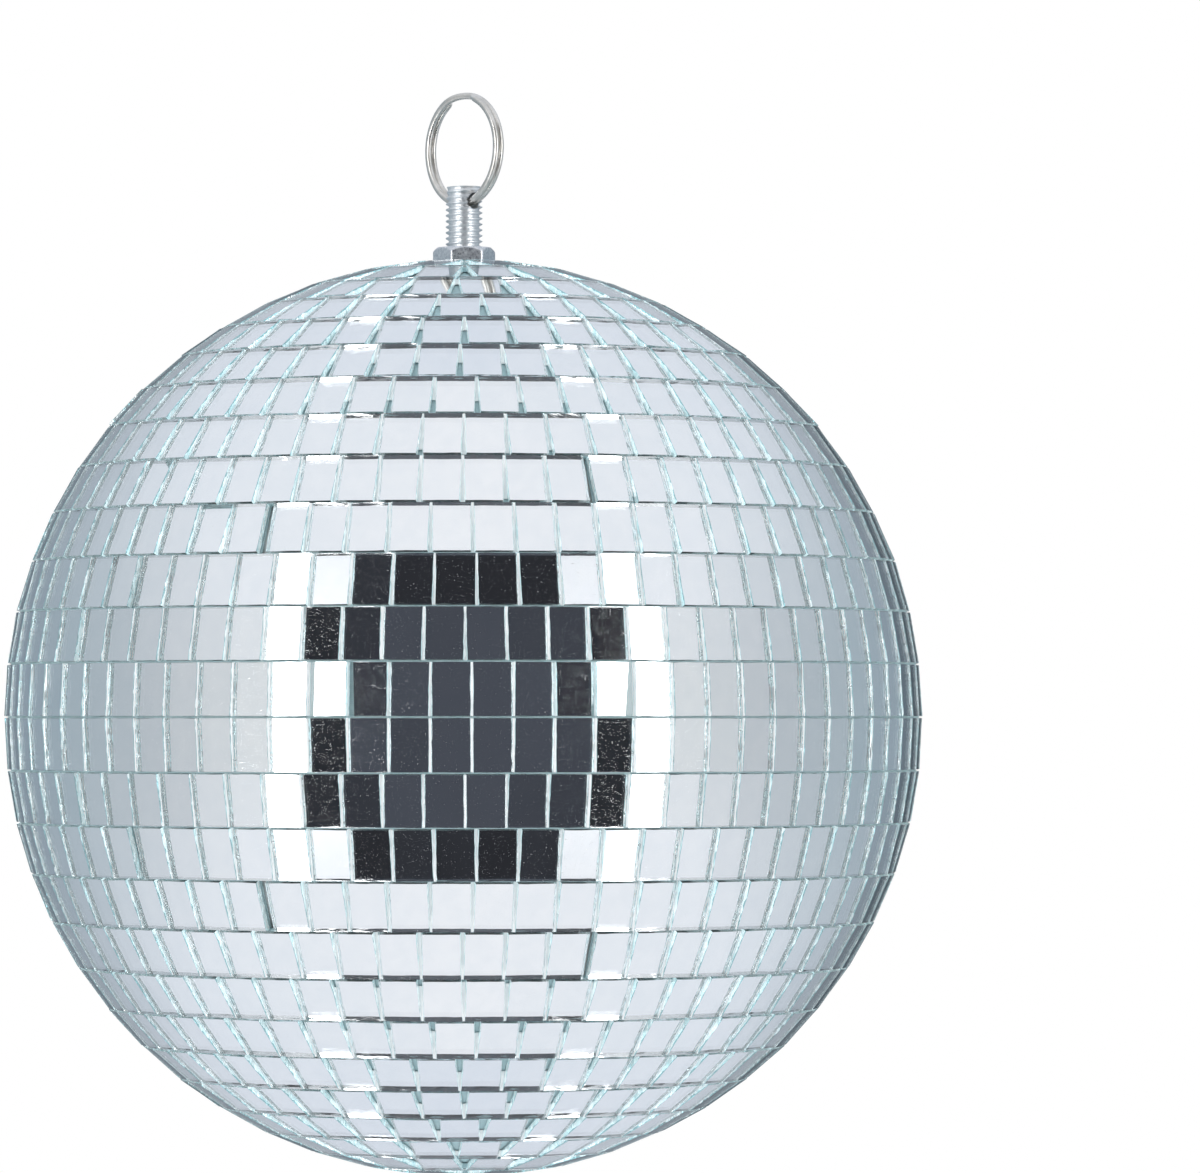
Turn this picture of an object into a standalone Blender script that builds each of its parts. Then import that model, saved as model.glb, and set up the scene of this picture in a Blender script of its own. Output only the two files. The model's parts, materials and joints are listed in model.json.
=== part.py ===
"""A 200 mm mirror ball that hangs by a split ring from a cross-drilled bolt.

The origin is the hang point, the inner top of the split ring. +Z is up, and the ring lies in the XZ plane.
"""

from math import asin, cos, degrees, floor, pi, radians, sin, tau

import bmesh
import bpy

# Driving dimensions, in metres. Heights in the ball are measured from its centre.
BALL_R = 0.100
GAP = 0.0003

RING_OUTER_R = 0.0125
RING_INNER_R = 0.011
RING_WIDTH = 0.0026
RING_CENTRE = 0.124
RING_STEPS_PER_TURN = 36
RING_JOG_DEG = 40.0
RING_JOG_START_DEG = 77.0
RING_EDGE = 0.0003

BOLT_R = 0.0039
BOLT_TOP = 0.1159
BOLT_LENGTH = 0.030
BOLT_END_CHAMFER = 0.0008
BOLT_HEAD_FLATS = 0.013
BOLT_HEAD_HEIGHT = 0.0053
BOLT_SEGMENTS = 24
CROSS_HOLE_R = 0.0017

NUT_FLATS = 0.012
NUT_BOTTOM = 0.096
NUT_HEIGHT = 0.0065
NUT_TURN_DEG = -33.0
BORE_R = 0.0042

WASHER_R = 0.015
WASHER_THICKNESS = 0.0016
SPRING_WASHER_R = 0.0074
SPRING_WASHER_THICKNESS = 0.0020

CORE_R = 0.0976
CORE_WALL = 0.0024
CORE_SEGMENTS = 40
RECESS_R = 0.00725
BOSS_R = 0.018
BOSS_BOTTOM = 0.0904
SPIGOT_WALL = 0.0015
SPIGOT_DEPTH = 0.005
SPIGOT_ROOT = 0.008
POLE_CAP_R = 0.002

TILE_THICKNESS = 0.0018
ROW_GAP = 0.0005
SEAM_GAP = 0.0012
TRIM_THICKNESS = 0.0015
TRIM_INNER_R = 0.0073
TRIM_OUTER_R = 0.0084
TRIM_FRONT = 0.0994
CLOSING_R = 0.0083
CLOSING_FRONT = 0.0998

# How many tiles each row has, from the equator to the pole, and where the rows' edges lie above the equator.
TILES_IN_ROW = (73, 72, 69, 66, 62, 57, 51, 45, 38, 31, 23, 15, 7)
ROW_EDGES_DEG = (0.0, 6.63, 13.25, 19.85, 26.4, 32.95, 39.25, 45.5, 51.75, 58.0, 64.3, 70.7, 77.5, 84.5)
# Where each row's joints fall, and where the strip's two ends meet, in degrees from the row's reference line.
FRONT_DEG = -39.0
JOINT_DEG = (1.0, -0.1, 1.3, 0.8, 0.0, 0.0, 2.1, -0.8, 0.0, 4.6, -2.9, 0.0, 0.0)
SEAM_DEG = {1: 150.0, 2: -54.0, 3: -47.5, 4: -27.0, 5: 16.0}
HIDDEN_SEAM_DEG = 110.0
HIDDEN_SEAM_STEP_DEG = 11.0

# Places worked out from the driving dimensions.
BALL_Z = -(RING_CENTRE + RING_INNER_R)
RING_Z = -RING_INNER_R
BOLT_SEAT = BOLT_TOP - BOLT_LENGTH
RING_AT_BOLT = RING_CENTRE - (RING_INNER_R**2 - BOLT_R**2) ** 0.5
HINGE_HEIGHT = (RING_AT_BOLT + RING_CENTRE - RING_OUTER_R) / 2
HINGE_Z = BALL_Z + HINGE_HEIGHT
CORE_INNER_R = CORE_R - CORE_WALL


def clear_scene():
    for obj in list(bpy.data.objects):
        bpy.data.objects.remove(obj)


def principled(name, colour, metallic, roughness):
    material = bpy.data.materials.new(name)
    material.use_nodes = True
    shader = material.node_tree.nodes["Principled BSDF"]
    shader.inputs["Base Color"].default_value = (*colour, 1.0)
    shader.inputs["Metallic"].default_value = metallic
    shader.inputs["Roughness"].default_value = roughness
    material.diffuse_color = (*colour, 1.0)
    return material


def circle(radius, height, segments):
    turns = [tau * k / segments for k in range(segments)]
    return [(radius * cos(a), radius * sin(a), height) for a in turns]


def hexagon(flats, height, segments, turn_deg=0.0):
    """A hexagon's outline with its points at even angles, the six corners among them."""
    points = []
    for k in range(segments):
        angle = tau * k / segments
        from_flat = (angle + pi / 6) % (pi / 3) - pi / 6
        radius = flats / 2 / cos(from_flat)
        turned = angle + radians(turn_deg)
        points.append((radius * cos(turned), radius * sin(turned), height))
    return points


def loft(name, rings, material, closed=False, smooth=False):
    """One closed body through a row of outlines that have the same number of points."""
    bm = bmesh.new()
    rows = [[bm.verts.new(point) for point in ring] for ring in rings]
    pairs = list(zip(rows, rows[1:]))
    if closed:
        pairs.append((rows[-1], rows[0]))
    else:
        bm.faces.new(rows[0])
        bm.faces.new(rows[-1])
    for low, high in pairs:
        for k in range(len(low)):
            after = (k + 1) % len(low)
            bm.faces.new((low[k], low[after], high[after], high[k]))
    bmesh.ops.recalc_face_normals(bm, faces=bm.faces)
    mesh = bpy.data.meshes.new(name)
    bm.to_mesh(mesh)
    bm.free()
    mesh.materials.append(material)
    if smooth:
        mesh.shade_smooth()
        mesh.set_sharp_from_angle(angle=radians(35))
    obj = bpy.data.objects.new(name, mesh)
    bpy.context.scene.collection.objects.link(obj)
    return obj


def hang_on(pivot, pieces):
    """Makes the pieces, drawn from the ball's centre, children of the pivot."""
    for piece in pieces:
        piece.parent = pivot
        piece.location.z = BALL_Z - HINGE_Z


def split_ring(material):
    """Nearly two turns of half-round wire, side by side, with a jog from one side to the other."""
    turns = 2 - (RING_JOG_DEG + 5) / 360
    steps = floor(turns * RING_STEPS_PER_TURN)
    start = RING_JOG_START_DEG + RING_JOG_DEG
    coil = (RING_WIDTH - GAP) / 2
    offset = (RING_WIDTH - coil) / 2
    edge = RING_EDGE
    radial, across = (RING_OUTER_R - RING_INNER_R) / 2, coil / 2
    outline = (
        (radial, across - edge), (radial - edge, across),
        (edge - radial, across), (-radial, across - edge),
        (-radial, edge - across), (edge - radial, -across),
        (radial - edge, -across), (radial, edge - across),
    )
    rings = []
    for k in range(steps + 1):
        travelled = 360 * turns * k / steps
        jog = min(max((travelled - (360 - RING_JOG_DEG)) / RING_JOG_DEG, 0), 1)
        side = offset * (1 - 2 * jog)
        angle = radians(start + travelled)
        middle = (RING_OUTER_R + RING_INNER_R) / 2
        rings.append([
            ((middle + r) * cos(angle), side + y, (middle + r) * sin(angle))
            for r, y in outline
        ])
    ring = loft("split_ring", rings, material, smooth=True)
    ring.location.z = RING_Z
    return ring


def hanger_bolt(material):
    """A hexagon bolt with a hole drilled across its end for the ring."""
    under_head = BOLT_SEAT - BOLT_HEAD_HEIGHT
    bolt = loft(
        "hanger_bolt",
        [
            circle(BOLT_HEAD_FLATS * 0.46, under_head, BOLT_SEGMENTS),
            hexagon(BOLT_HEAD_FLATS, under_head + BOLT_END_CHAMFER, BOLT_SEGMENTS),
            hexagon(BOLT_HEAD_FLATS, BOLT_SEAT, BOLT_SEGMENTS),
            circle(BOLT_R, BOLT_SEAT, BOLT_SEGMENTS),
            circle(BOLT_R, BOLT_TOP - BOLT_END_CHAMFER, BOLT_SEGMENTS),
            circle(BOLT_R - BOLT_END_CHAMFER, BOLT_TOP, BOLT_SEGMENTS),
        ],
        material,
        smooth=True,
    )
    along_x = [(-2 * BOLT_R, 1), (2 * BOLT_R, 1)]
    drill = loft(
        "cross_hole_drill",
        [
            [(x, y, HINGE_HEIGHT + z) for y, z, _ in circle(CROSS_HOLE_R, 0, BOLT_SEGMENTS)]
            for x, _ in along_x
        ],
        material,
    )
    drill.hide_render = True
    drill.display_type = "WIRE"
    cut = bolt.modifiers.new("cross_hole", "BOOLEAN")
    cut.operation = "DIFFERENCE"
    cut.solver = "EXACT"
    cut.object = drill
    return bolt, drill


def hex_nut(material):
    top = NUT_BOTTOM + NUT_HEIGHT
    chamfer = NUT_HEIGHT / 10
    outside = [
        hexagon(NUT_FLATS, height, BOLT_SEGMENTS, NUT_TURN_DEG)
        for height in (NUT_BOTTOM + chamfer, top - chamfer)
    ]
    return loft(
        "hex_nut",
        [
            circle(BORE_R, NUT_BOTTOM, BOLT_SEGMENTS),
            circle(NUT_FLATS / 2, NUT_BOTTOM, BOLT_SEGMENTS),
            *outside,
            circle(NUT_FLATS / 2, top, BOLT_SEGMENTS),
            circle(BORE_R, top, BOLT_SEGMENTS),
        ],
        material,
        closed=True,
    )


def washer(name, outer_r, bottom, thickness, material):
    outline = (
        (BORE_R, bottom), (outer_r, bottom),
        (outer_r, bottom + thickness), (BORE_R, bottom + thickness),
    )
    rings = [circle(r, z, BOLT_SEGMENTS) for r, z in outline]
    return loft(name, rings, material, closed=True, smooth=True)


def arc(radius, from_height, to_r, steps):
    """Points on a sphere's outline from a height up to a distance from the axis, as (r, z)."""
    start = asin(from_height / radius)
    end = pi / 2 - asin(to_r / radius)
    angles = [start + (end - start) * k / steps for k in range(steps + 1)]
    return [(radius * cos(a), radius * sin(a)) for a in angles]


def upper_core_shell(material):
    """The top half of the core: a boss for the bolt, a recess for the nut, a spigot at the rim."""
    pad = NUT_BOTTOM - GAP
    spigot_r = CORE_INNER_R - 0.0005
    rim = GAP / 2
    outline = (
        arc(CORE_R, rim, RECESS_R, 8)
        + [(RECESS_R, pad), (BORE_R, pad), (BORE_R, BOSS_BOTTOM), (BOSS_R, BOSS_BOTTOM)]
        + arc(CORE_INNER_R, SPIGOT_ROOT, BOSS_R, 5)[::-1]
        + [(spigot_r - SPIGOT_WALL, SPIGOT_DEPTH), (spigot_r - SPIGOT_WALL, -SPIGOT_DEPTH)]
        + [(spigot_r, -SPIGOT_DEPTH), (spigot_r, rim)]
    )
    rings = [circle(r, z, CORE_SEGMENTS) for r, z in outline]
    return loft("upper_core_shell", rings, material, closed=True, smooth=True)


def lower_core_shell(material):
    """The bottom half of the core, a plain cup that takes the upper half's spigot."""
    rim = GAP / 2
    outside = arc(CORE_R, rim, POLE_CAP_R, 8)
    inside = [(CORE_INNER_R, rim)] + arc(CORE_INNER_R, SPIGOT_ROOT, POLE_CAP_R, 5)
    outline = inside[::-1] + outside
    rings = [circle(r, -z, CORE_SEGMENTS) for r, z in outline]
    return loft("lower_core_shell", rings, material, smooth=True)


def mirror_strip(name, row, half, material):
    """One row of flat mirror tiles on their backing, with a gap where the strip's ends meet."""
    count = TILES_IN_ROW[row - 1]
    edge_deg = degrees(ROW_GAP / 2 / BALL_R)
    low = radians(ROW_EDGES_DEG[row - 1] + edge_deg) * half
    high = radians(ROW_EDGES_DEG[row] - edge_deg) * half
    pitch = 360 / count
    seam_deg = SEAM_DEG.get(row, HIDDEN_SEAM_DEG + HIDDEN_SEAM_STEP_DEG * row)
    joint_deg = JOINT_DEG[row - 1]
    start = FRONT_DEG + joint_deg + pitch * round((seam_deg - joint_deg) / pitch)
    gap_deg = degrees(SEAM_GAP / (BALL_R * cos(high)))
    back = BALL_R - TILE_THICKNESS
    corners = ((BALL_R, low), (BALL_R, high), (back, high), (back, low))
    sections = []
    for k in range(count + 1):
        angle = radians(start + gap_deg / 2 + (360 - gap_deg) * k / count)
        sections.append([
            (r * cos(e) * cos(angle), r * cos(e) * sin(angle), r * sin(e)) for r, e in corners
        ])
    return loft(name, sections, material)


def top_trim_glass(material):
    """The narrow cut slivers of mirror that close the top row round the nut."""
    back = TRIM_FRONT - TRIM_THICKNESS
    outline = (
        (TRIM_INNER_R / cos(pi / 16), back), (TRIM_OUTER_R, back),
        (TRIM_OUTER_R, TRIM_FRONT), (TRIM_INNER_R / cos(pi / 16), TRIM_FRONT),
    )
    rings = [circle(r, z, 16) for r, z in outline]
    return loft("top_trim_glass", rings, material, closed=True)


def bottom_closing_tile(material):
    """The flat piece of mirror that covers the bottom pole."""
    heights = (-CLOSING_FRONT, -CLOSING_FRONT + TILE_THICKNESS)
    return loft("bottom_closing_tile", [circle(CLOSING_R, z, 8) for z in heights], material)


def main():
    clear_scene()
    glass = principled("mirror_glass", (0.80, 0.84, 0.86), 1.0, 0.03)
    plastic = principled("core_plastic", (0.86, 0.87, 0.86), 0.0, 0.5)
    zinc = principled("zinc_steel", (0.62, 0.65, 0.68), 1.0, 0.35)
    nickel = principled("nickel_wire", (0.72, 0.70, 0.66), 1.0, 0.2)

    split_ring(nickel)
    pivot = bpy.data.objects.new("ball_swing_axis", None)
    pivot.location.z = HINGE_Z
    bpy.context.scene.collection.objects.link(pivot)

    washer_bottom = BOSS_BOTTOM - GAP - WASHER_THICKNESS
    pieces = [
        *hanger_bolt(zinc),
        hex_nut(zinc),
        washer("inner_washer", WASHER_R, washer_bottom, WASHER_THICKNESS, zinc),
        washer("spring_washer", SPRING_WASHER_R, BOLT_SEAT + GAP, SPRING_WASHER_THICKNESS, zinc),
        upper_core_shell(plastic),
        lower_core_shell(plastic),
        top_trim_glass(glass),
        bottom_closing_tile(glass),
    ]
    for row in range(1, len(TILES_IN_ROW) + 1):
        pieces.append(mirror_strip(f"mirror_strip_u{row:02d}", row, 1, glass))
        pieces.append(mirror_strip(f"mirror_strip_l{row:02d}", row, -1, glass))
    hang_on(pivot, pieces)


main()
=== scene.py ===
"""The looks of the mirror ball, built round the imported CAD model.

Everything is in metres in the CAD's own frame: the origin is the inner top of the split ring, +Z is up, and X
runs along the hole across the bolt. Heights in the ball's own pieces are measured from the ball's centre.
"""

import json
import random
from math import copysign, cos, degrees, floor, hypot, pi, radians, sin, sqrt, tau

import bmesh
import bpy
from mathutils import Matrix, Vector


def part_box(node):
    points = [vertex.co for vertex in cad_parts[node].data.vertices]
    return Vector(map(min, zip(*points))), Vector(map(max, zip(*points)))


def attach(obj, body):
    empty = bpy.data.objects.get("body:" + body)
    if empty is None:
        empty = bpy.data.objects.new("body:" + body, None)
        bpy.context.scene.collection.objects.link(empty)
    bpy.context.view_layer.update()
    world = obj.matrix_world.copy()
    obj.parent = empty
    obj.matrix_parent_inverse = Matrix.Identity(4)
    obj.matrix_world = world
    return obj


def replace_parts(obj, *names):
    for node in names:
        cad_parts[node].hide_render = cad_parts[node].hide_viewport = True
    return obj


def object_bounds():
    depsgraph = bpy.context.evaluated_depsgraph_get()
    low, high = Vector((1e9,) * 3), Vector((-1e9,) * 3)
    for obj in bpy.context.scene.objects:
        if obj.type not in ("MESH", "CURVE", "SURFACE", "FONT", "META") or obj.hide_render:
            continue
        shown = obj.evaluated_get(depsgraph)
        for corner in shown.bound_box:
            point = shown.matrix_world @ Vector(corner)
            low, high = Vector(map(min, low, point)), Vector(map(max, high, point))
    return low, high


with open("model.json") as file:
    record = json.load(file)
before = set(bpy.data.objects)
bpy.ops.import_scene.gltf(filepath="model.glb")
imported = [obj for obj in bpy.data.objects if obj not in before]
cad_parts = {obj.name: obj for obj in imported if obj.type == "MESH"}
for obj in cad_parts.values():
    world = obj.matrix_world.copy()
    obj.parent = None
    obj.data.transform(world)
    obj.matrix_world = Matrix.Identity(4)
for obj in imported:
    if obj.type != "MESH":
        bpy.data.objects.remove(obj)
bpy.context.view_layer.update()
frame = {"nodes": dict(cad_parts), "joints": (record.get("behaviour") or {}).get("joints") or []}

# The ball and its rows of tiles, counted from the equator. The rows' edges are latitudes.
BALL_R = 0.100
BALL_Z = (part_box("mirror_strip_u01")[0].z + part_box("mirror_strip_l01")[1].z) / 2
TILES_IN_ROW = (73, 72, 69, 66, 62, 57, 51, 45, 38, 31, 23, 15, 7)
ROW_EDGES_DEG = (0.0, 6.63, 13.25, 19.85, 26.4, 32.95, 39.25, 45.5, 51.75, 58.0, 64.3, 70.7, 77.5, 84.5)
ROW_JOINT = 0.00038
TILE_WIDTH = 0.00865
JOINT_LEAST = 0.00010
# The tiles' pitch is reckoned this deep, at the backing, and the corners of their fronts lie this deep.
PITCH_DEPTH = 0.0017
CORNER_DEPTH = 0.0001

# One tile: its thickness, and how far its front is drawn in from its back at each kind of edge.
GLASS = 0.0014
SIDE_SLOPE = 0.00013
POLE_SLOPE = 0.00008
SLIVER_SLOPE = 0.00012
EDGE_GLOW = 0.27

# The backing behind the glass, its turned-up edges, and the glue between neighbouring tiles.
BACKING_DROP = 0.00165
BACKING_THICKNESS = 0.00015
BACKING_JOINT = 0.00012
LIP_DROP = 0.00075
LIP_THICKNESS = 0.00012
BEAD_DROP = 0.00014
BEAD_SINK = 3.5
BEAD_LEAST = 0.0001
BEAD_FULL_GAP = 0.0004
BEAD_WIDEST_GAP = 0.0009

# Where the joints and the strips' seams fall, in degrees from the side that faces the camera.
FRONT_DEG = -39.0
JOINT_DEG = (1.0, -0.1, 1.3, 0.8, 0.0, 0.0, 2.1, -0.8, 0.0, 4.6, -2.9, 0.0, 0.0)
SEAM_DEG = {1: 150.0, 2: -54.0, 3: -47.5, 4: -27.0, 5: 16.0}
HIDDEN_SEAM_DEG = 110.0
HIDDEN_SEAM_STEP_DEG = 11.0
SEAM_GAP = 0.0012
CLOSE_SEAM_GAP = {5: 0.0006}

# How far off true the tiles sit, in degrees: less at the front than at the back, where a few are quite loose.
FRONT_REACH_DEG = 26.0
FRONT_SPREAD_DEG = 0.2
BACK_SPREAD_DEG = 0.45
SPIN_SPREAD_DEG = 0.3
LOOSE_SHARE = 0.025
LOOSE_DEG = 4.0
BULGE_DEG = {(1, 1): 3.6}
BULGE_REACH_DEG = 20.0

# The cut pieces at the two poles.
SLIVER_INNER_R = 0.0073
SLIVER_TOP = 0.0995
CLOSING_R = 0.0089
CLOSING_FRONT = 0.0997
CRACKS = (-0.0031, 0.0040)
CRACK_HALF_GAP = 0.00025

# The bolt, with its M8 coarse thread worn near the top. The drill is (place along X, radius) at four rims.
HINGE = Vector(frame["joints"][0]["pos_m"])
BOLT_R = 0.0040
THREAD_PITCH = 0.00125
THREAD_ROOT_R = 0.00330
WORN_LENGTH = 0.0042
WEAR_FADE = 0.003
CREST_WEAR = 0.00022
ROOT_FILL = 0.00028
HEAD_FLATS = 0.013
HEAD_HEIGHT = 0.0053
CROSS_HOLE_R = 0.0017
DRILL = ((-0.0050, 0.0025), (-0.0034, CROSS_HOLE_R), (0.0034, CROSS_HOLE_R), (0.0050, 0.0025))

# The nut and the washers.
NUT_FLATS = 0.012
NUT_TURN_DEG = -33.0
NUT_CORNER_POWER = 42
NUT_FACE_R = 0.00585
NUT_CONE_SLOPE = 1.2
NUT_BORE_R = 0.00404
NUT_MOUTH_R = 0.0046
NUT_MOUTH_DEPTH = 0.0005
WASHER_BORE_R = 0.0042

# The split ring.
RING_INNER_R = 0.011
RING_STEPS_PER_TURN = 96
RING_JOG_DEG = 40.0
RING_JOG_START_DEG = 77.0
RING_END_GAP_DEG = 4.0
RING_COIL_CLEARANCE = 0.00002
RING_TAPER = 0.45
RING_TAPER_LENGTH = 0.0010

# The photograph's view.
CAMERA_DEG = 51.0
CAMERA_DISTANCE = 1.5
LENS_MM = 206.2
SENSOR_MM = 36.0
AIM_RIGHT = 0.02969
AIM_UP = 0.02851

# The studio's colours by the angle round from the camera, in degrees, and the camera's dark opening in it.
WALLS = (
    (0, (0.90, 0.93, 0.95)),
    (50, (0.76, 0.785, 0.805)),
    (80, (0.52, 0.555, 0.595)),
    (120, (0.355, 0.43, 0.485)),
    (150, (0.262, 0.325, 0.385)),
    (172, (0.10, 0.135, 0.165)),
)
CEILING = ((0, (0.892, 0.906, 0.947)), (90, (0.81, 0.843, 0.90)), (180, (0.722, 0.768, 0.852)))
PANEL = 6.6
OPENING_WIDE_DEG = 40.5
OPENING_TALL_DEG = 38.7
OPENING_POWER = 3.4
FLOOR_DROP = 2.0
FLOOR_R = 12.0


# ---------------------------------------------------------------- materials


class Graph:
    """Short names for wiring a node tree."""

    def __init__(self, tree):
        self.tree = tree
        tree.nodes.clear()

    def node(self, kind, **settings):
        made = self.tree.nodes.new(kind)
        for name, value in settings.items():
            setattr(made, name, value)
        return made

    def feed(self, socket, value):
        if isinstance(value, bpy.types.NodeSocket):
            self.tree.links.new(value, socket)
        else:
            socket.default_value = value

    def math(self, operation, *values):
        made = self.node("ShaderNodeMath", operation=operation)
        for socket, value in zip(made.inputs, values):
            self.feed(socket, value)
        return made.outputs[0]

    def ramp(self, value, low, high, out_low=0.0, out_high=1.0):
        """A smooth step from out_low to out_high while the value goes from low to high."""
        made = self.node("ShaderNodeMapRange", interpolation_type="SMOOTHSTEP")
        for socket, given in zip(made.inputs, (value, low, high, out_low, out_high)):
            self.feed(socket, given)
        return made.outputs[0]

    def mix(self, share, first, second):
        """The first colour where the share is 0 and the second where it is 1."""
        made = self.node("ShaderNodeMix", data_type="RGBA")
        self.feed(made.inputs["Factor"], share)
        for socket, value in ((made.inputs[6], first), (made.inputs[7], second)):
            self.feed(socket, value if isinstance(value, bpy.types.NodeSocket) else (*value, 1.0))
        return made.outputs[2]

    def noise(self, scale, detail=3.0, vector=None, roughness=0.55):
        made = self.node("ShaderNodeTexNoise")
        made.inputs["Scale"].default_value = scale
        made.inputs["Detail"].default_value = detail
        made.inputs["Roughness"].default_value = roughness
        if vector is not None:
            self.feed(made.inputs["Vector"], vector)
        return made.outputs["Fac"]

    def place(self):
        return self.node("ShaderNodeTexCoord").outputs["Object"]

    def drawn_out(self, stretch):
        """Object coordinates, for a pattern drawn out along Z, or squeezed where stretch is under 1."""
        made = self.node("ShaderNodeMapping", vector_type="TEXTURE")
        made.inputs["Scale"].default_value = (1.0, 1.0, stretch)
        self.feed(made.inputs["Vector"], self.place())
        return made.outputs[0]

    def bump(self, height, distance, strength=1.0):
        made = self.node("ShaderNodeBump")
        made.inputs["Strength"].default_value = strength
        made.inputs["Distance"].default_value = distance
        self.feed(made.inputs["Height"], height)
        return made.outputs["Normal"]


def material(name, colour, **values):
    """A Principled material. Each value is a constant, or a function of the graph that returns a socket."""
    made = bpy.data.materials.new(name)
    made.use_nodes = True
    graph = Graph(made.node_tree)
    shader = graph.node("ShaderNodeBsdfPrincipled")
    out = graph.node("ShaderNodeOutputMaterial")
    graph.tree.links.new(shader.outputs[0], out.inputs["Surface"])
    values["Base Color"] = colour
    for socket, value in values.items():
        value = value(graph) if callable(value) else value
        is_colour = socket == "Base Color" and isinstance(value, tuple)
        graph.feed(shader.inputs[socket], (*value, 1.0) if is_colour else value)
    return made


def front_material():
    """Clear, polished float glass with a light film of dust."""

    def roughness(g):
        return g.ramp(g.noise(1100, 3.0, g.place()), 0.62, 0.78, 0.0, 0.025)

    clear = {"Transmission Weight": 1.0}
    return material("tile_glass", (0.975, 0.99, 0.995), Roughness=roughness, IOR=1.52, **clear)


def side_edge_material():
    """The snapped side of a tile: frosted, shell-like, pale blue-green, and darker along its arrises."""

    def colour(g):
        streaks = g.ramp(g.noise(900, 3.0, g.drawn_out(6.0)), 0.32, 0.58)
        body = g.mix(streaks, (0.64, 0.83, 0.86), (0.96, 0.985, 0.99))
        depth = g.node("ShaderNodeAttribute", attribute_name="depth").outputs["Fac"]
        wandering = g.math("ADD", depth, g.ramp(g.noise(500, 3.0, g.place()), 0.3, 0.7, -0.14, 0.14))
        arrises = g.math("ADD", g.ramp(wandering, 0.10, 0.20, 1, 0), g.ramp(wandering, 0.82, 0.92))
        return g.mix(arrises, body, (0.14, 0.33, 0.37))

    def roughness(g):
        return g.ramp(g.noise(1000, 3.0, g.place()), 0.32, 0.68, 0.20, 0.45)

    def normal(g):
        return g.bump(g.noise(1200, 3.0, g.drawn_out(6.0)), 0.0003, 1.0)

    # The glass carries light to its edges, which this faint glow stands for.
    glow = {"Emission Color": (0.76, 0.90, 0.92, 1.0), "Emission Strength": EDGE_GLOW}
    return material("tile_side_edge", colour, Metallic=1.0, Roughness=roughness, Normal=normal, **glow)


def pole_edge_material():
    """The scored side of a tile: nearly clear, mirroring the studio from inside, with chipped patches."""

    def colour(g):
        streaks = g.ramp(g.noise(700, 3.0, g.place()), 0.36, 0.60)
        return g.mix(streaks, (0.68, 0.90, 0.92), (0.95, 0.99, 1.0))

    def roughness(g):
        return g.ramp(g.noise(1000, 3.0, g.place()), 0.45, 0.75, 0.0, 0.2)

    def normal(g):
        return g.bump(g.noise(1600, 4.0, g.place()), 0.00003, 0.8)

    clear = {"Transmission Weight": 0.9}
    return material("tile_pole_edge", colour, Roughness=roughness, Normal=normal, IOR=1.52, **clear)


def silver_material():
    """The silvering on the back of each tile, with pinholes and faint streaks from the float line."""

    def colour(g):
        cloud = g.ramp(g.noise(240, 3.0, g.place()), 0.3, 0.75)
        return g.mix(cloud, (0.93, 0.945, 0.955), (0.965, 0.972, 0.975))

    def roughness(g):
        specks = g.ramp(g.noise(4200, 2.0, g.place()), 0.64, 0.74, 0.0, 0.30)
        scratches = g.ramp(g.noise(420, 3.0, g.drawn_out(0.12), 0.6), 0.63, 0.76, 0.0, 0.16)
        return g.math("MAXIMUM", specks, scratches)

    return material("tile_silver", colour, Metallic=1.0, Roughness=roughness)


def backing_material():
    """The woven backing that the tiles come on, coloured darker and blue-green as painted shade: the shade in
    the gaps between the tiles and the tint of the glass beside it.
    """

    def weave(g):
        wave = g.node("ShaderNodeTexWave", wave_type="BANDS", bands_direction="Z")
        wave.inputs["Scale"].default_value = 700
        g.feed(wave.inputs["Vector"], g.place())
        return g.bump(wave.outputs["Fac"], 0.00004, 0.6)

    def colour(g):
        # Painted shade: the backing is coloured darker and blue-green for the shade in the gaps and the tint
        # of the glass beside them.
        return g.mix(g.noise(500, 3.0, g.place()), (0.36, 0.54, 0.57), (0.60, 0.75, 0.77))

    return material("tile_backing", colour, Roughness=0.45, Normal=weave)


def glue_material():
    """The white glue that has risen between the tiles, wet-looking and uneven."""

    def colour(g):
        return g.mix(g.noise(700, 3.0, g.place()), (0.92, 0.94, 0.94), (0.985, 0.99, 0.985))

    def normal(g):
        return g.bump(g.noise(900, 3.0, g.place()), 0.00005, 0.5)

    return material("tile_glue", colour, Roughness=0.35, Normal=normal)


def core_material():
    """White moulded plastic with a fine texture."""

    def colour(g):
        return g.mix(g.noise(90, 4.0, g.place()), (0.88, 0.89, 0.88), (0.95, 0.955, 0.95))

    def normal(g):
        return g.bump(g.noise(2500, 2.0, g.place()), 0.00003, 0.5)

    return material("core_white", colour, Roughness=0.42, Normal=normal)


def zinc_material(name, light, dark, spangle, smoothest, roughest):
    """Bright zinc plate, mottled by its own fine crystals and by handling."""

    def colour(g):
        return g.mix(g.ramp(g.noise(spangle, 5.0, g.place(), 0.7), 0.35, 0.68), dark, light)

    def roughness(g):
        return g.ramp(g.noise(spangle * 1.7, 4.0, g.place(), 0.7), 0.3, 0.7, smoothest, roughest)

    def normal(g):
        return g.bump(g.noise(spangle * 1.3, 5.0, g.place(), 0.7), 0.000012, 0.5)

    return material(name, colour, Metallic=1.0, Roughness=roughness, Normal=normal)


def nickel_material():
    """Nickel-plated spring wire, drawn smooth, with a faint warm cast."""

    def colour(g):
        return g.mix(g.ramp(g.noise(350, 3.0, g.place()), 0.35, 0.7), (0.66, 0.64, 0.60), (0.80, 0.78, 0.745))

    def roughness(g):
        return g.ramp(g.noise(500, 3.0, g.place()), 0.3, 0.75, 0.27, 0.38)

    def normal(g):
        return g.bump(g.noise(250, 2.0, g.place()), 0.00001, 0.3)

    return material("ring_nickel", colour, Metallic=1.0, Roughness=roughness, Normal=normal)


# ---------------------------------------------------------------- mesh helpers


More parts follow.
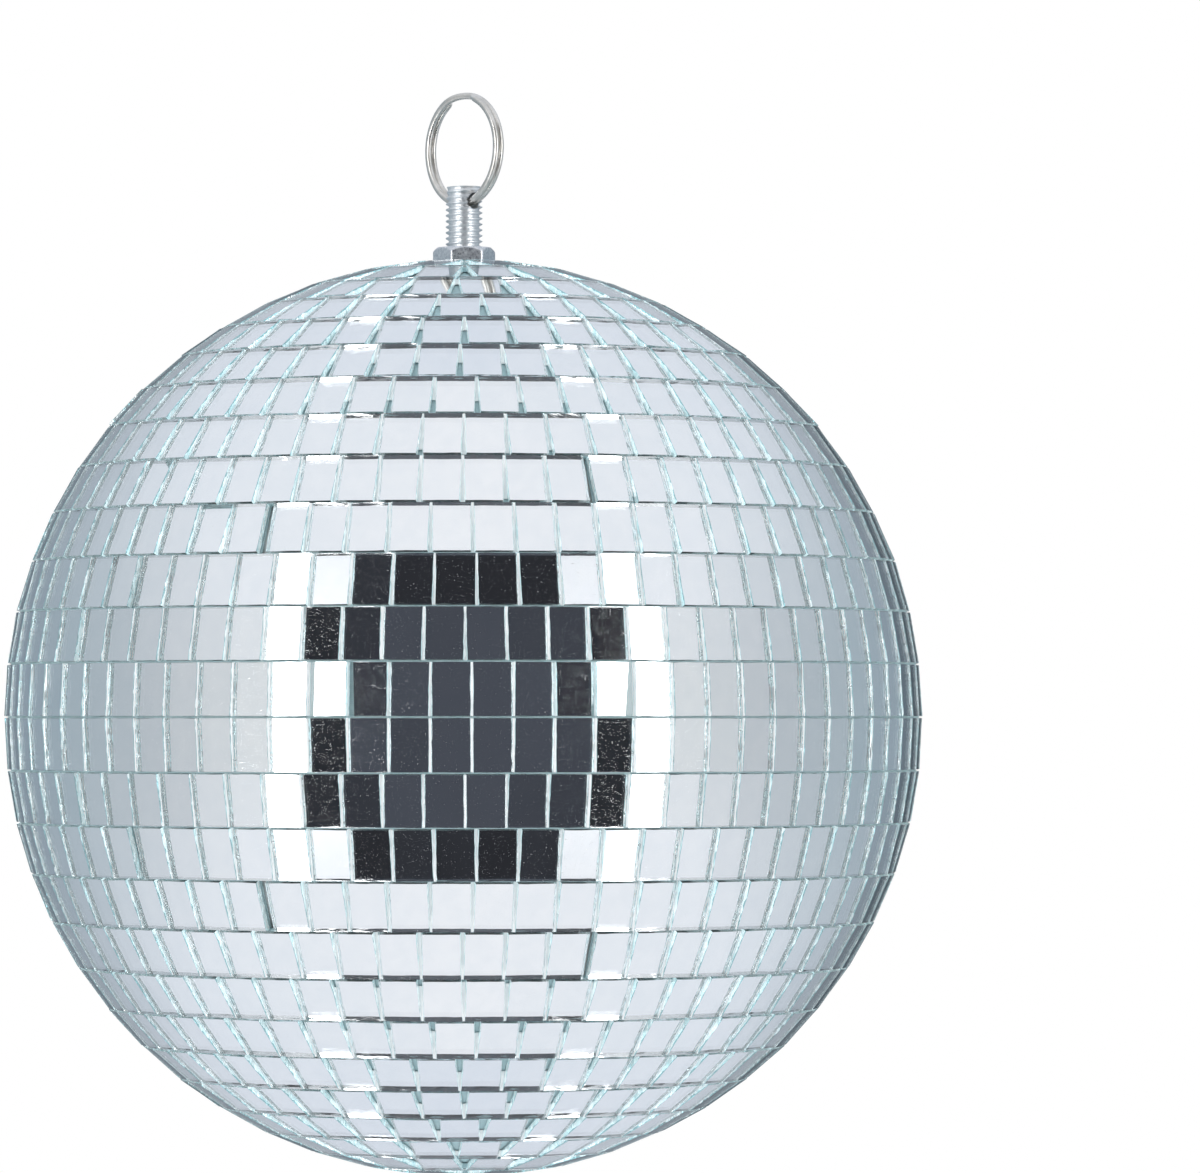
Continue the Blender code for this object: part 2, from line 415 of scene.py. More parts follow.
def mesh_object(name, verts, faces, materials, slots=None, smooth_angle=None):
    mesh = bpy.data.meshes.new(name)
    mesh.from_pydata(verts, [], faces)
    for each in materials:
        mesh.materials.append(each)
    if slots is not None:
        mesh.polygons.foreach_set("material_index", slots)
    if smooth_angle is not None:
        mesh.shade_smooth()
        mesh.set_sharp_from_angle(angle=radians(smooth_angle))
    mesh.validate()
    obj = bpy.data.objects.new(name, mesh)
    bpy.context.scene.collection.objects.link(obj)
    return obj


def on_ball(obj, slot, *nodes):
    """Puts a piece drawn from the ball's centre in its place, and makes it ride with the ball."""
    obj.data.transform(Matrix.Translation((0, 0, BALL_Z)))
    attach(obj, "ball")
    if nodes:
        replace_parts(obj, *nodes)
    return obj


def loft(rings, closed=False):
    """Vertices and faces through a row of outlines that have the same number of points."""
    count = len(rings[0])
    verts = [tuple(point) for ring in rings for point in ring]
    faces = []
    last = len(rings) if closed else len(rings) - 1
    for k in range(last):
        low, high = k * count, (k + 1) % len(rings) * count
        for i in range(count):
            after = (i + 1) % count
            faces.append((low + i, low + after, high + after, high + i))
    if not closed:
        faces.append(tuple(range(count))[::-1])
        faces.append(tuple(range((len(rings) - 1) * count, len(rings) * count)))
    return verts, faces


def circle(radius, height, segments):
    turns = [tau * k / segments for k in range(segments)]
    return [(radius * cos(a), radius * sin(a), height) for a in turns]


def lathe(name, outline, segments, materials, smooth_angle=30):
    """A ring-shaped solid of revolution from a closed outline of (r, z)."""
    verts, faces = loft([circle(r, z, segments) for r, z in outline], closed=True)
    return mesh_object(name, verts, faces, materials, smooth_angle=smooth_angle)


def face_out(obj):
    bm = bmesh.new()
    bm.from_mesh(obj.data)
    bmesh.ops.recalc_face_normals(bm, faces=bm.faces)
    bm.to_mesh(obj.data)
    bm.free()


def cut(obj, tool, operation):
    """Applies a Boolean with a tool that is then removed."""
    face_out(obj)
    face_out(tool)
    change = obj.modifiers.new("cut", "BOOLEAN")
    change.operation = operation
    change.solver = "EXACT"
    change.object = tool
    bpy.context.view_layer.update()
    result = bpy.data.meshes.new_from_object(obj.evaluated_get(bpy.context.evaluated_depsgraph_get()))
    obj.modifiers.clear()
    obj.data = result
    bpy.data.objects.remove(tool)


def finish_shading(obj, materials, angle_deg):
    obj.data.materials.clear()
    for each in materials:
        obj.data.materials.append(each)
    obj.data.polygons.foreach_set("material_index", [0] * len(obj.data.polygons))
    obj.data.shade_smooth()
    obj.data.set_sharp_from_angle(angle=radians(angle_deg))


# ---------------------------------------------------------------- mirror tiles

# The material slots of a strip.
FRONT, SIDE_EDGE, POLE_EDGE, SILVER, BACKING, GLUE = range(6)


class StripMesh:
    """Collects the glass blocks, the glue and the backing of one strip."""

    def __init__(self):
        self.verts, self.faces, self.slots, self.depths = [], [], [], []

    def add(self, verts, faces, slots, depths=None):
        """Adds a closed shape. Its depths run from 0 at a tile's front to 1 at its silvering."""
        base = len(self.verts)
        self.verts += verts
        self.faces += [tuple(base + i for i in face) for face in faces]
        self.slots += slots
        self.depths += depths or [0.5] * len(verts)

    def block(self, back, front, place):
        """A flat block of glass with sloping sides, silvered on its back. Both outlines run anticlockwise."""
        verts, faces = loft([[(x, y, -GLASS) for x, y in back], [(x, y, 0.0) for x, y in front]])
        edges = []
        for (x0, y0), (x1, y1) in zip(back, back[1:] + back[:1]):
            edges.append(POLE_EDGE if abs(x1 - x0) > abs(y1 - y0) else SIDE_EDGE)
        depths = [1.0] * len(back) + [0.0] * len(front)
        self.add([tuple(place @ Vector(v)) for v in verts], faces, edges + [SILVER, FRONT], depths)

    def bead(self, before, width, after, width_after, height):
        """The white glue pressed up between two neighbouring tiles.

        It sinks where their gap is wide, and stops short of an end where the gap is too wide for it to fill.
        """
        reach = height / 2 - BEAD_LEAST
        gaps = {}
        for end in (-1, 1):
            one_side = before @ Vector((width / 2, end * reach, 0))
            other_side = after @ Vector((-width_after / 2, end * reach, 0))
            gaps[end] = (one_side - other_side).length
        ends = []
        for end in (-1, 1):
            here, there = gaps[end], gaps[-end]
            share = 1.0
            if here > there:
                share = min(1.0, max(0.1, (BEAD_WIDEST_GAP - there) / max(here - there, 0.00001)))
            gap = there + (here - there) * share
            drop = min(BEAD_DROP + BEAD_SINK * max(gap - BEAD_FULL_GAP, 0), GLASS - BEAD_LEAST)
            ends.append((end * reach * (2 * share - 1), drop, SIDE_SLOPE * (1 - drop / GLASS) - 0.00003))
        (low, low_drop, low_in), (high, high_drop, high_in) = ends
        sections = []
        for place, half_width, side in ((before, width / 2, 1), (after, width_after / 2, -1)):
            corners = (
                (half_width, low, -GLASS),
                (half_width, high, -GLASS),
                (half_width - high_in, high, -high_drop),
                (half_width - low_in, low, -low_drop),
            )
            # A hundredth of a millimetre keeps the glue off the glass.
            sections.append([tuple(place @ Vector((side * (x + 0.00001), y, z))) for x, y, z in corners])
        self.ribbon(sections, GLUE)

    def ribbon(self, sections, slot=BACKING):
        verts, faces = loft(sections)
        self.add(verts, faces, [slot] * len(faces))

    def make(self, name, materials):
        made = mesh_object(name, self.verts, self.faces, materials, self.slots)
        depth = made.data.attributes.new("depth", "FLOAT", "POINT")
        depth.data.foreach_set("value", self.depths)
        return made


def tile_outlines(width, height, chance):
    """A tile's back and front outlines, anticlockwise, stepped along its arrises as snapping leaves them."""
    corners = ((-0.5, -0.5), (0.5, -0.5), (0.5, 0.5), (-0.5, 0.5))
    back, front = [], []
    for (x0, y0), (x1, y1) in zip(corners, corners[1:] + corners[:1]):
        at_side = x0 == x1
        steps = 6 if at_side else 4
        for s in range(steps):
            along = (s + (chance.uniform(-0.3, 0.3) if s else 0.0)) / steps
            x = (x0 + (x1 - x0) * along) * width
            y = (y0 + (y1 - y0) * along) * height
            back.append((x, y))
            inwards_x = SIDE_SLOPE + chance.uniform(-0.00007, 0.00009) if s == 0 or at_side else 0.0
            inwards_y = POLE_SLOPE + chance.uniform(-0.00004, 0.00006) if s == 0 or not at_side else 0.0
            front.append((x - copysign(inwards_x, x), y - copysign(inwards_y, y)))
    return back, front


def shrunk(outline, inwards):
    """An outline drawn in towards its middle, by about a given distance at its sides."""
    middle_x = sum(x for x, _ in outline) / len(outline)
    middle_y = sum(y for _, y in outline) / len(outline)
    drawn = []
    for x, y in outline:
        share = 1 - 1.4 * inwards / hypot(x - middle_x, y - middle_y)
        drawn.append((middle_x + (x - middle_x) * share, middle_y + (y - middle_y) * share))
    return drawn


def tangent_place(elevation, azimuth, distance):
    """The frame of a flat piece that lies against the ball: x eastwards, y towards +Z, z outwards."""
    out = Vector((cos(elevation) * cos(azimuth), cos(elevation) * sin(azimuth), sin(elevation)))
    east = Vector((-sin(azimuth), cos(azimuth), 0))
    north = out.cross(east)
    place = Matrix((east, north, out)).transposed().to_4x4()
    place.translation = out * distance
    return place


def row_middle(row, half):
    """(elevation of the row's middle line, angle from its lower edge to its upper one)."""
    low, high = ROW_EDGES_DEG[row - 1 : row + 1]
    return radians((low + high) / 2) * half, radians(high - low)


def row_plan(row):
    """(tile count, azimuth of the first joint, angular size of the seam's gap) for one row."""
    count = TILES_IN_ROW[row - 1]
    pitch = 360 / count
    seam = SEAM_DEG.get(row, HIDDEN_SEAM_DEG + HIDDEN_SEAM_STEP_DEG * row)
    start = FRONT_DEG + JOINT_DEG[row - 1] + pitch * round((seam - JOINT_DEG[row - 1]) / pitch)
    edge_r = BALL_R * cos(radians(ROW_EDGES_DEG[row]))
    return count, radians(start), CLOSE_SEAM_GAP.get(row, SEAM_GAP) / edge_r


def hand_set_place(chance, middle, azimuth, front, bulge):
    """Where a tile sits: against the ball, a little off true, and turned with the bulge in its strip."""
    from_front = (degrees(azimuth) - FRONT_DEG + 180) % 360 - 180
    at_front = abs(from_front) < FRONT_REACH_DEG
    spread = FRONT_SPREAD_DEG if at_front else BACK_SPREAD_DEG
    turned = chance.gauss(0, spread)
    if abs(from_front) < BULGE_REACH_DEG:
        turned += bulge * sin(radians(6 * from_front))
    tilted = chance.gauss(0, spread)
    if chance.random() < LOOSE_SHARE and not at_front:
        turned += chance.uniform(-LOOSE_DEG, LOOSE_DEG)
        tilted += chance.uniform(-LOOSE_DEG, LOOSE_DEG) / 2
    place = tangent_place(middle, azimuth, front + chance.uniform(-0.00008, 0.00004))
    place = place @ Matrix.Rotation(radians(turned), 4, "Y") @ Matrix.Rotation(radians(tilted), 4, "X")
    return place @ Matrix.Rotation(radians(chance.gauss(0, SPIN_SPREAD_DEG)), 4, "Z")


def mirror_strip(row, half, materials):
    """One row: glass tiles, each set by hand and so a little off true, on a faceted ribbon of backing."""
    name = f"{'u' if half > 0 else 'l'}{row:02d}"
    chance = random.Random(1000 + 2 * row + (half > 0))
    count, start, gap = row_plan(row)
    middle, rise = row_middle(row, half)
    height = rise * BALL_R - ROW_JOINT
    step = (tau - gap) / count
    pitch = step * (BALL_R - PITCH_DEPTH) * cos(radians(ROW_EDGES_DEG[row]))
    nominal = min(TILE_WIDTH, pitch - JOINT_LEAST) * chance.uniform(0.985, 1.0)
    front = sqrt(BALL_R**2 - (height / 2) ** 2 - (nominal / 2) ** 2) - CORNER_DEPTH
    strip = StripMesh()
    placed = []
    for k in range(count):
        azimuth = start + gap / 2 + step * (k + 0.5)
        place = hand_set_place(chance, middle, azimuth, front, BULGE_DEG.get((row, half), 0.0))
        width = nominal * chance.uniform(0.99, 1.005)
        strip.block(*tile_outlines(width, height, chance), place)
        placed.append((place, width))
    for (before, width), (after, width_after) in zip(placed, placed[1:]):
        strip.bead(before, width, after, width_after, height)
    strip.ribbon(ribbon_sections(row, half, count, start + gap / 2, step, front))
    return on_ball(strip.make(f"tiles_{name}", materials), "mirror_glass", f"mirror_strip_{name}")


def ribbon_sections(row, half, count, start, step, front):
    """The backing's cross-section at every joint between tiles, creased there and flat under each tile.

    Its two long edges turn up between the tiles of this row and the next.
    """
    middle, rise = row_middle(row, half)
    reach = (rise * BALL_R - BACKING_JOINT) / 2
    floor_plane, under_plane = front - BACKING_DROP, front - BACKING_DROP - BACKING_THICKNESS
    lip_plane = front - LIP_DROP
    inside_lip = reach - LIP_THICKNESS
    profile = (
        (-reach, under_plane),
        (reach, under_plane),
        (reach, lip_plane),
        (inside_lip, lip_plane),
        (inside_lip, floor_plane),
        (-inside_lip, floor_plane),
        (-inside_lip, lip_plane),
        (-reach, lip_plane),
    )
    sections = []
    for k in range(count + 1):
        azimuth = start + step * k
        ring = []
        for north, plane in profile:
            # The point of the tile's flat plane that lies above the joint, north of the row's middle line.
            out = plane * cos(middle) - north * sin(middle)
            flat = out / cos(step / 2)
            ring.append((flat * cos(azimuth), flat * sin(azimuth), plane * sin(middle) + north * cos(middle)))
        sections.append(ring)
    return sections


def clip(polygon, a, b, c):
    """The part of a convex polygon where a*x + b*y is at most c."""
    kept = []
    for k, (x0, y0) in enumerate(polygon):
        x1, y1 = polygon[(k + 1) % len(polygon)]
        d0, d1 = a * x0 + b * y0 - c, a * x1 + b * y1 - c
        if d0 <= 0:
            kept.append((x0, y0))
        if d0 * d1 < 0:
            share = d0 / (d0 - d1)
            kept.append((x0 + (x1 - x0) * share, y0 + (y1 - y0) * share))
    return kept


def top_trim(materials):
    """Cut slivers of mirror, no two alike, that fill the ring between the top row and the nut."""
    chance = random.Random(7)
    strip = StripMesh()
    first, half_joint, least_span = 0.3, 0.02, 0.25
    angle = first
    while angle < tau + first - least_span:
        span = min(chance.uniform(0.5, 0.95), tau + first - angle)
        outer_r = chance.uniform(0.0088, 0.0094)
        half_span = span / 2 - half_joint
        inner_r = SLIVER_INNER_R / cos(half_span)
        corners = ((inner_r, -half_span), (outer_r, -half_span), (outer_r, half_span), (inner_r, half_span))
        outline = [(r * cos(a), r * sin(a)) for r, a in corners]
        centre = sum(x for x, _ in outline) / len(outline)
        outline = [(x - centre, y) for x, y in outline]
        dip = Matrix.Rotation(radians(chance.uniform(2, 7)), 4, "Y")
        lift = SLIVER_TOP - chance.uniform(0, 0.0004)
        place = Matrix.Rotation(angle + span / 2, 4, "Z") @ Matrix.Translation((centre, 0, lift)) @ dip
        strip.block(outline, shrunk(outline, SLIVER_SLOPE), place)
        angle += span
    return on_ball(strip.make("top_slivers", materials), "mirror_glass", "top_trim_glass")


def closing_piece(materials):
    """The bottom pole: one piece of mirror cut to the hole's outline and broken along two scored lines."""
    chance = random.Random(9)
    sides, start, gap = row_plan(len(TILES_IN_ROW))
    radius = CLOSING_R / cos(pi / sides)
    turns = [-(start + gap / 2) - tau * k / sides for k in reversed(range(sides))]
    outline = [(radius * cos(a), radius * sin(a)) for a in turns]
    strip = StripMesh()
    down = Matrix.Rotation(pi, 4, "X")
    bands = (-2 * radius, *CRACKS, 2 * radius)
    for low, high in zip(bands, bands[1:]):
        part = clip(clip(outline, 0, 1, high - CRACK_HALF_GAP), 0, -1, -(low + CRACK_HALF_GAP))
        tilt = Matrix.Rotation(radians(chance.gauss(0, 0.5)), 4, "Y")
        place = Matrix.Translation((0, 0, -CLOSING_FRONT)) @ tilt @ down
        strip.block(part, shrunk(part, SLIVER_SLOPE), place)
    return on_ball(strip.make("closing_mirror", materials), "mirror_glass", "bottom_closing_tile")


# ---------------------------------------------------------------- hardware


def threaded_shank(low, high, materials):
    """An M8 coarse thread, overlong at both ends, as one helicoid, with its crests worn down near the top."""
    steps = 72
    root, crest = THREAD_ROOT_R, BOLT_R
    # One turn of the thread, by shares of its pitch: the root, a flank, the crest and the other flank.
    outline = ((0.0, root), (0.17, root), (0.47, crest), (0.60, crest), (0.87, root))
    turns = int((high - low) / THREAD_PITCH) + 3
    columns = []
    for i in range(steps):
        angle = tau * i / steps
        column = []
        for turn in range(turns):
            for along, radius in outline:
                height = low + THREAD_PITCH * (turn - 1.5 + along + i / steps)
                wear = min(max((height - (high - WORN_LENGTH)) / WEAR_FADE, 0), 1)
                r = min(max(radius, root + wear * ROOT_FILL), crest - wear * CREST_WEAR)
                column.append((r * cos(angle), r * sin(angle), height))
        columns.append(column)
    return helicoid("hanger_bolt_threaded", columns, len(outline), materials)


def helicoid(name, columns, points_per_turn, materials):
    """A closed helix with one column of points per angle. The last column meets the first one turn up."""
    count, length = len(columns), len(columns[0])
    verts = [point for column in columns for point in column]
    faces = []
    for i in range(count - 1):
        a, b = i * length, (i + 1) * length
        faces += [(a + k, b + k, b + k + 1, a + k + 1) for k in range(length - 1)]
    a, b = (count - 1) * length, points_per_turn
    overlap = length - 1 - points_per_turn
    faces += [(a + k, b + k, b + k + 1, a + k + 1) for k in range(overlap)]
    # The two open ends are closed by fans to points on the axis.
    bottom, top = len(verts), len(verts) + 1
    verts += [(0, 0, columns[0][0][2]), (0, 0, columns[-1][-1][2])]
    low = [i * length for i in range(count)] + list(range(points_per_turn, -1, -1))
    faces += [(bottom, low[k + 1], low[k]) for k in range(len(low) - 1)]
    seam = [a + k for k in range(overlap, length)]
    high = seam[::-1] + [i * length + length - 1 for i in range(count - 2, -1, -1)]
    faces += [(top, high[k + 1], high[k]) for k in range(len(high) - 1)]
    faces.append((top, high[0], high[-1]))
    return mesh_object(name, verts, faces, materials)


def hexagon(flats, height, turn_deg=0.0):
    radius = flats / 2 / cos(pi / 6)
    angles = [tau * k / 6 + pi / 6 + radians(turn_deg) for k in range(6)]
    return [(radius * cos(a), radius * sin(a), height) for a in angles]


def hex_prism(name, flats, low, high, turn_deg, materials):
    verts, faces = loft([hexagon(flats, low, turn_deg), hexagon(flats, high, turn_deg)])
    return mesh_object(name, verts, faces, materials)


def hanger_bolt(materials):
    low_box, high_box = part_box("hanger_bolt")
    bottom, top = low_box.z - BALL_Z, high_box.z - BALL_Z
    seat = bottom + HEAD_HEIGHT
    bolt = threaded_shank(seat - 0.001, top, materials)
    end = lathe_solid(
        "end_shape",
        [(0.0048, seat - 0.0004), (0.0048, top - 0.0009), (0.0037, top - 0.0001), (0.0035, top)],
        96,
        materials,
    )
    cut(bolt, end, "INTERSECT")
    head = hex_prism("head", HEAD_FLATS, bottom, seat, 0, materials)
    dome = lathe_solid(
        "head_shape",
        [(0.0060, bottom), (0.0078, bottom + 0.0009), (0.0078, seat + 0.001)],
        96,
        materials,
    )
    cut(head, dome, "INTERSECT")
    cut(bolt, head, "UNION")
    along = HINGE.z - BALL_Z
    drill = mesh_object(
        "drill",
        *loft([[(x, y, along + z) for y, z, _ in circle(r, 0, 40)] for x, r in DRILL]),
        materials,
    )
    cut(bolt, drill, "DIFFERENCE")
    finish_shading(bolt, materials, 28)
    return on_ball(bolt, "zinc_steel", "hanger_bolt")


def lathe_solid(name, outline, segments, materials):
    """A solid of revolution that is capped flat at both ends of its outline of (r, z)."""
    verts, faces = loft([circle(r, z, segments) for r, z in outline])
    return mesh_object(name, verts, faces, materials)


def nut_radius(angle, height_below_top, height_above_bottom):
    """The nut's outside: a hexagon with worn corners, turned down to a cone at each end."""
    flats = [abs(cos(angle - radians(NUT_TURN_DEG + 60 * k))) / (NUT_FLATS / 2) for k in range(3)]
    sides = sum(each**NUT_CORNER_POWER for each in flats) ** (-1 / NUT_CORNER_POWER)
    cone = NUT_FACE_R + NUT_CONE_SLOPE * min(height_below_top, height_above_bottom)
    return (sides**-NUT_CORNER_POWER + cone**-NUT_CORNER_POWER) ** (-1 / NUT_CORNER_POWER)


def hex_nut(materials):
    low_box, high_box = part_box("hex_nut")
    bottom, top = low_box.z - BALL_Z, high_box.z - BALL_Z
    tall = top - bottom
    segments = 240
    turns = [tau * k / segments for k in range(segments)]
    # The outlines lie closest together near both ends, where the chamfers curve most.
    near_end = (0.0, 0.015, 0.035, 0.06, 0.09, 0.13, 0.18, 0.26)
    rings = [circle(NUT_BORE_R, bottom + NUT_MOUTH_DEPTH, segments), circle(NUT_MOUTH_R, bottom, segments)]
    rings.append(circle(NUT_FACE_R * 0.97, bottom, segments))
    for share in (*near_end, 0.5, *(1 - share for share in reversed(near_end))):
        above = tall * share
        radii = [nut_radius(a, tall - above, above) for a in turns]
        rings.append([(r * cos(a), r * sin(a), bottom + above) for r, a in zip(radii, turns)])
    rings.append(circle(NUT_FACE_R * 0.97, top, segments))
    rings += [circle(NUT_MOUTH_R, top, segments), circle(NUT_BORE_R, top - NUT_MOUTH_DEPTH, segments)]
    verts, faces = loft(rings, closed=True)
    nut = mesh_object("hex_nut_chamfered", verts, faces, materials, smooth_angle=35)
    face_out(nut)
    return on_ball(nut, "zinc_steel", "hex_nut")


def wire_section(points, power):
    """A superellipse with half-axes of 1: the flattened, round-cornered section of the ring's wire."""
    section = []
    for k in range(points):
        c, s = cos(tau * k / points), sin(tau * k / points)
        grow = (abs(c) ** power + abs(s) ** power) ** (-1 / power)
        section.append((c * grow, s * grow))
    return section


def split_ring(materials):
    """Nearly two turns of wire lying side by side, with a jog between them and tapered, cut ends."""
    low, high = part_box("split_ring")
    middle_z = (low.z + high.z) / 2
    outer = (high.z - low.z) / 2
    half_thickness = (outer - RING_INNER_R) / 2
    half_width = (high.y - low.y) / 4 - RING_COIL_CLEARANCE
    section = wire_section(20, 2.2)
    turns = 2 - (RING_JOG_DEG + RING_END_GAP_DEG) / 360
    steps = floor(turns * RING_STEPS_PER_TURN)
    rings = []
    for k in range(steps + 1):
        travelled = 360 * turns * k / steps
        share = min(max((travelled - (360 - RING_JOG_DEG)) / RING_JOG_DEG, 0), 1)
        eased = share * share * (3 - 2 * share)
        side = (half_width + RING_COIL_CLEARANCE) * (1 - 2 * eased)
        angle = radians(RING_JOG_START_DEG + RING_JOG_DEG + travelled)
        to_end = min(travelled, 360 * turns - travelled) / 360 * tau * outer
        size = 1 - RING_TAPER * max(0, 1 - to_end / RING_TAPER_LENGTH)
        # The coils aren't quite round.
        centre = outer - half_thickness + 0.00006 * sin(3 * angle + 1)
        ring = []
        for across, along in section:
            r = centre + half_thickness * 0.97 * size * across
            y = side + half_width * size * along
            ring.append((r * cos(angle), y, middle_z + r * sin(angle)))
        rings.append(ring)
    verts, faces = loft(rings)
    obj = mesh_object("split_ring_wire", verts, faces, materials, smooth_angle=50)
    face_out(obj)
    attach(obj, "ring")
    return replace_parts(obj, "split_ring")


def washer_section(outer, bottom, top, soft):
    """A washer's cross-section of (r, z), with its four corners cut."""
    return [
        (WASHER_BORE_R, bottom + soft),
        (WASHER_BORE_R + soft, bottom),
        (outer - soft, bottom),
        (outer, bottom + soft),
        (outer, top - soft),
        (outer - soft, top),
        (WASHER_BORE_R + soft, top),
        (WASHER_BORE_R, top - soft),
    ]


def rounded_washer(name, node, materials):
    low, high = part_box(node)
    outline = washer_section(high.x, low.z - BALL_Z, high.z - BALL_Z, 0.00018)
    washer = lathe(name, outline, 96, materials, smooth_angle=50)
    face_out(washer)
    return on_ball(washer, "zinc_steel", node)


def split_spring_washer(materials):
    """A helical spring washer with its two ends a little apart."""
    low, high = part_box("spring_washer")
    bottom = low.z - BALL_Z
    first, turned, rise, steps = radians(8), radians(347), 0.0003, 90
    thickness = high.z - low.z - rise
    rings = []
    for k in range(steps + 1):
        angle = first + turned * k / steps
        z = bottom + rise * k / steps
        section = washer_section(high.x, z, z + thickness, 0.00015)
        rings.append([(r * cos(angle), r * sin(angle), h) for r, h in section])
    verts, faces = loft(rings)
    washer = mesh_object("spring_washer_split", verts, faces, materials, smooth_angle=50)
    face_out(washer)
    return on_ball(washer, "zinc_steel", "spring_washer")


# ---------------------------------------------------------------- studio


def studio_angles(g, direction):
    """The angle round from the camera, with and without its sign, and the height off level, in degrees."""
    view = radians(CAMERA_DEG)

    def towards(x, y, z):
        made = g.node("ShaderNodeVectorMath", operation="DOT_PRODUCT")
        g.feed(made.inputs[0], direction)
        made.inputs[1].default_value = (x, y, z)
        return made.outputs["Value"]

    front = towards(sin(view), -cos(view), 0)
    right = towards(cos(view), sin(view), 0)
    signed = g.math("DEGREES", g.math("ARCTAN2", right, front))
    height = g.math("ABSOLUTE", g.math("DEGREES", g.math("ARCSINE", towards(0, 0, 1))))
    return signed, g.math("ABSOLUTE", signed), height


def colour_stops(g, angle, colours):
    """A ramp through (angle, colour) stops between 0 and 180 degrees."""
    made = g.node("ShaderNodeValToRGB")
    ramp = made.color_ramp
    while len(ramp.elements) < len(colours):
        ramp.elements.new(0.5)
    for element, (stop, colour) in zip(ramp.elements, colours):
        element.position = stop / 180
        element.color = (*colour, 1.0)
    g.feed(made.inputs[0], g.math("DIVIDE", angle, 180))
    return made.outputs["Color"]


def tent(g, signed, around, height):
    """Walls that darken round to the back, an even ceiling and floor, a dark doorway far round to one side,
    and a strong white panel on each side of the camera.
    """
    walls = colour_stops(g, around, WALLS)
    ceiling = colour_stops(g, around, CEILING)
    reach = g.math("SUBTRACT", g.ramp(around, 50, 100, 30, 46), g.ramp(around, 140, 168, 0, 14))
    cloth = g.mix(g.ramp(height, 4, reach), walls, ceiling)
    doorway = g.math("MULTIPLY", g.ramp(signed, 136, 156), g.ramp(signed, 168, 176, 1, 0))
    doorway = g.math("MULTIPLY", doorway, g.ramp(height, 8, 26, 0.75, 0))
    cloth = g.mix(doorway, cloth, (0.035, 0.05, 0.065))
    lit = g.math("MULTIPLY", g.ramp(around, 49, 53, 1, 0), g.ramp(height, 20, 34, 1, 0))
    return g.mix(lit, cloth, (PANEL, PANEL, PANEL))


def dark_opening(g, signed, around, height, direction):
    """(how far out a direction is in the camera's opening, with 1 at its rim, and the colour seen in it)."""
    # Only the tiles' pole-side edges look out level. For them the opening is narrower and off to one side.
    level = g.ramp(height, 3.2, 4.4, 1, 0)
    narrowed = g.math("MULTIPLY", g.math("ABSOLUTE", g.math("SUBTRACT", signed, 5.5)), 1.5)
    sideways = g.math("ADD", g.math("MULTIPLY", level, g.math("SUBTRACT", narrowed, around)), around)
    wide = g.math("POWER", g.math("DIVIDE", sideways, OPENING_WIDE_DEG), OPENING_POWER)
    tall = g.math("POWER", g.math("DIVIDE", height, OPENING_TALL_DEG), OPENING_POWER)
    outwards = g.math("POWER", g.math("ADD", wide, tall), 1 / OPENING_POWER)
    clouds = g.ramp(g.noise(9, 1.0, direction), 0.35, 0.65, -0.25, 0.25)
    darker = g.math("ADD", g.ramp(outwards, 0.50, 0.95), clouds)
    return outwards, g.mix(darker, (0.068, 0.075, 0.094), (0.025, 0.026, 0.031))


def studio_world():
    """What the tiles reflect: a pale tent round the ball, open and dark towards the camera.

    The camera itself sees plain white paper behind the ball.
    """
    world = bpy.data.worlds.new("studio")
    bpy.context.scene.world = world
    world.use_nodes = True
    g = Graph(world.node_tree)
    direction = g.node("ShaderNodeTexCoord").outputs["Generated"]
    signed, around, height = studio_angles(g, direction)
    outwards, dark = dark_opening(g, signed, around, height, direction)
    seen = g.mix(g.ramp(outwards, 0.99, 1.01), dark, tent(g, signed, around, height))

    studio = g.node("ShaderNodeBackground")
    g.feed(studio.inputs["Color"], seen)
    paper = g.node("ShaderNodeBackground")
    paper.inputs["Color"].default_value = (1, 1, 1, 1)
    shown = g.node("ShaderNodeMixShader")
    g.feed(shown.inputs[0], g.node("ShaderNodeLightPath").outputs["Is Camera Ray"])
    g.tree.links.new(studio.outputs[0], shown.inputs[1])
    g.tree.links.new(paper.outputs[0], shown.inputs[2])
    g.tree.links.new(shown.outputs[0], g.node("ShaderNodeOutputWorld").inputs["Surface"])


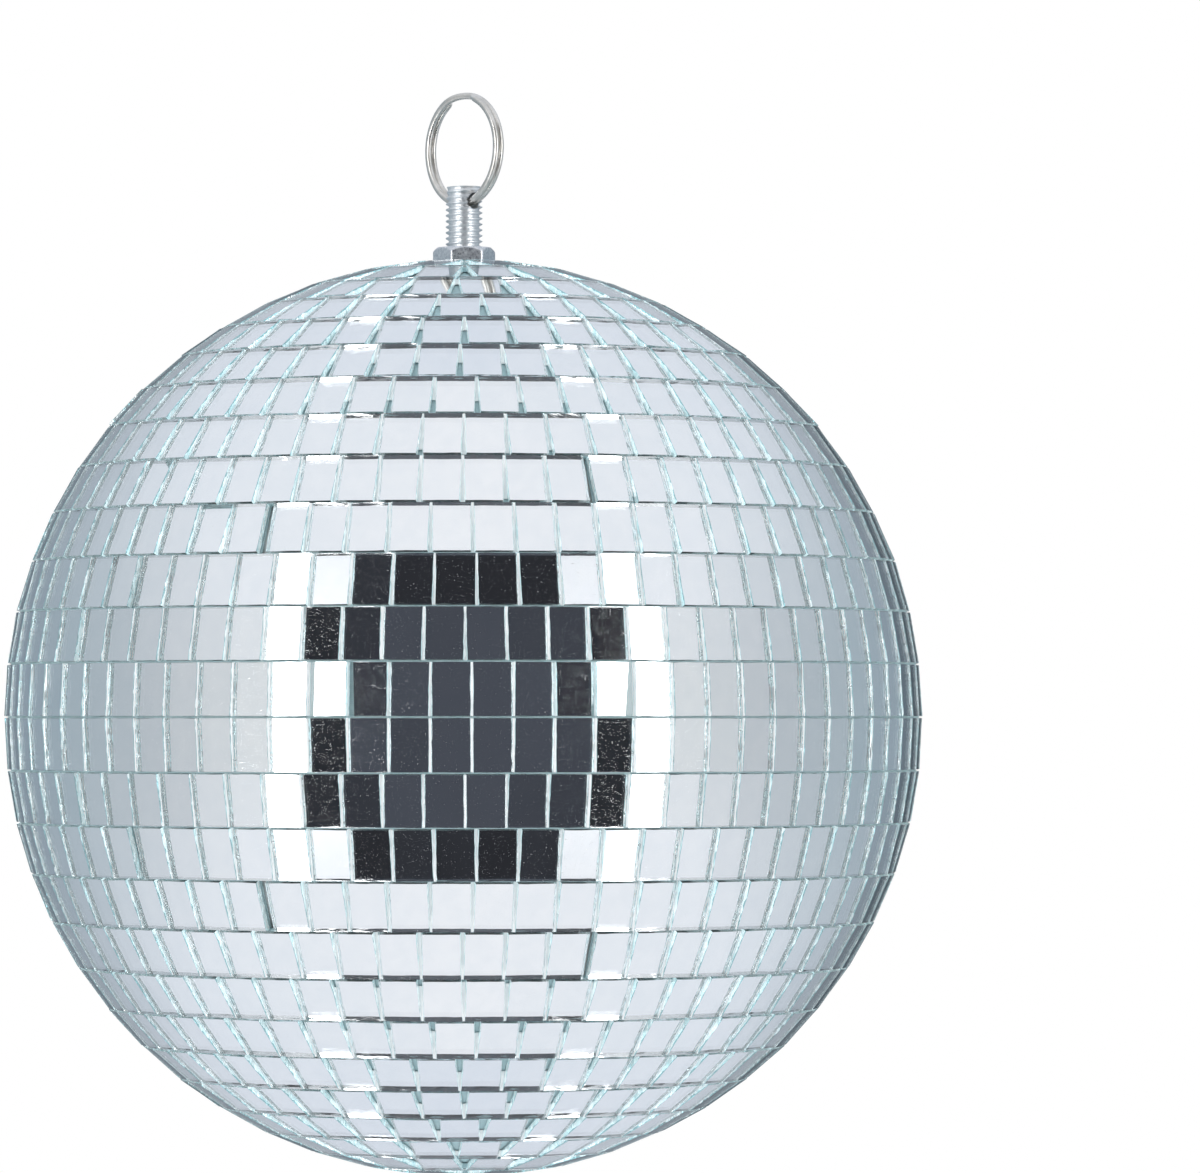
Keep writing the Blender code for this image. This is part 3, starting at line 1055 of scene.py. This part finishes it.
def floor_disc():
    low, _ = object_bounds()
    floor_material = material(
        "studio_floor",
        lambda g: g.mix(g.noise(3, 3.0, g.place()), (0.90, 0.90, 0.90), (0.93, 0.93, 0.93)),
        Roughness=0.6,
        **{"Emission Color": (1, 1, 1, 1), "Emission Strength": 0.27},
    )
    rim = circle(FLOOR_R, low[2] - FLOOR_DROP, 128)
    disc = mesh_object("studio_floor", rim, [tuple(range(len(rim)))], [floor_material])
    disc.visible_glossy = False
    disc.visible_transmission = False


def camera():
    view = radians(CAMERA_DEG)
    centre = Vector((0, 0, BALL_Z))
    towards = Vector((sin(view), -cos(view), 0))
    right = Vector((cos(view), sin(view), 0))
    data = bpy.data.cameras.new("camera")
    data.lens = LENS_MM
    data.sensor_width = SENSOR_MM
    data.sensor_fit = "HORIZONTAL"
    data.clip_start = 0.05
    data.clip_end = 50
    obj = bpy.data.objects.new("camera", data)
    bpy.context.scene.collection.objects.link(obj)
    obj.location = centre + towards * CAMERA_DISTANCE
    aim = centre + right * AIM_RIGHT + Vector((0, 0, AIM_UP))
    obj.rotation_euler = (aim - obj.location).to_track_quat("-Z", "Y").to_euler()
    bpy.context.scene.camera = obj


def main():
    camera()
    studio_world()
    bpy.context.scene.view_settings.view_transform = "Standard"

    tile_materials = [
        front_material(),
        side_edge_material(),
        pole_edge_material(),
        silver_material(),
        backing_material(),
        glue_material(),
    ]
    for row in range(1, len(TILES_IN_ROW) + 1):
        mirror_strip(row, 1, tile_materials)
        mirror_strip(row, -1, tile_materials)
    top_trim(tile_materials)
    closing_piece(tile_materials)

    zinc = zinc_material("bolt_zinc", (0.90, 0.92, 0.93), (0.76, 0.79, 0.81), 1300, 0.34, 0.50)
    nut_zinc = zinc_material("nut_zinc", (0.84, 0.86, 0.88), (0.58, 0.61, 0.65), 1500, 0.24, 0.46)
    hanger_bolt([zinc])
    hex_nut([nut_zinc])
    rounded_washer("inner_washer_rounded", "inner_washer", [zinc])
    split_spring_washer([zinc])
    split_ring([nickel_material()])

    core = core_material()
    for node in ("upper_core_shell", "lower_core_shell"):
        frame["nodes"][node].data.materials.clear()
        frame["nodes"][node].data.materials.append(core)

    floor_disc()


main()
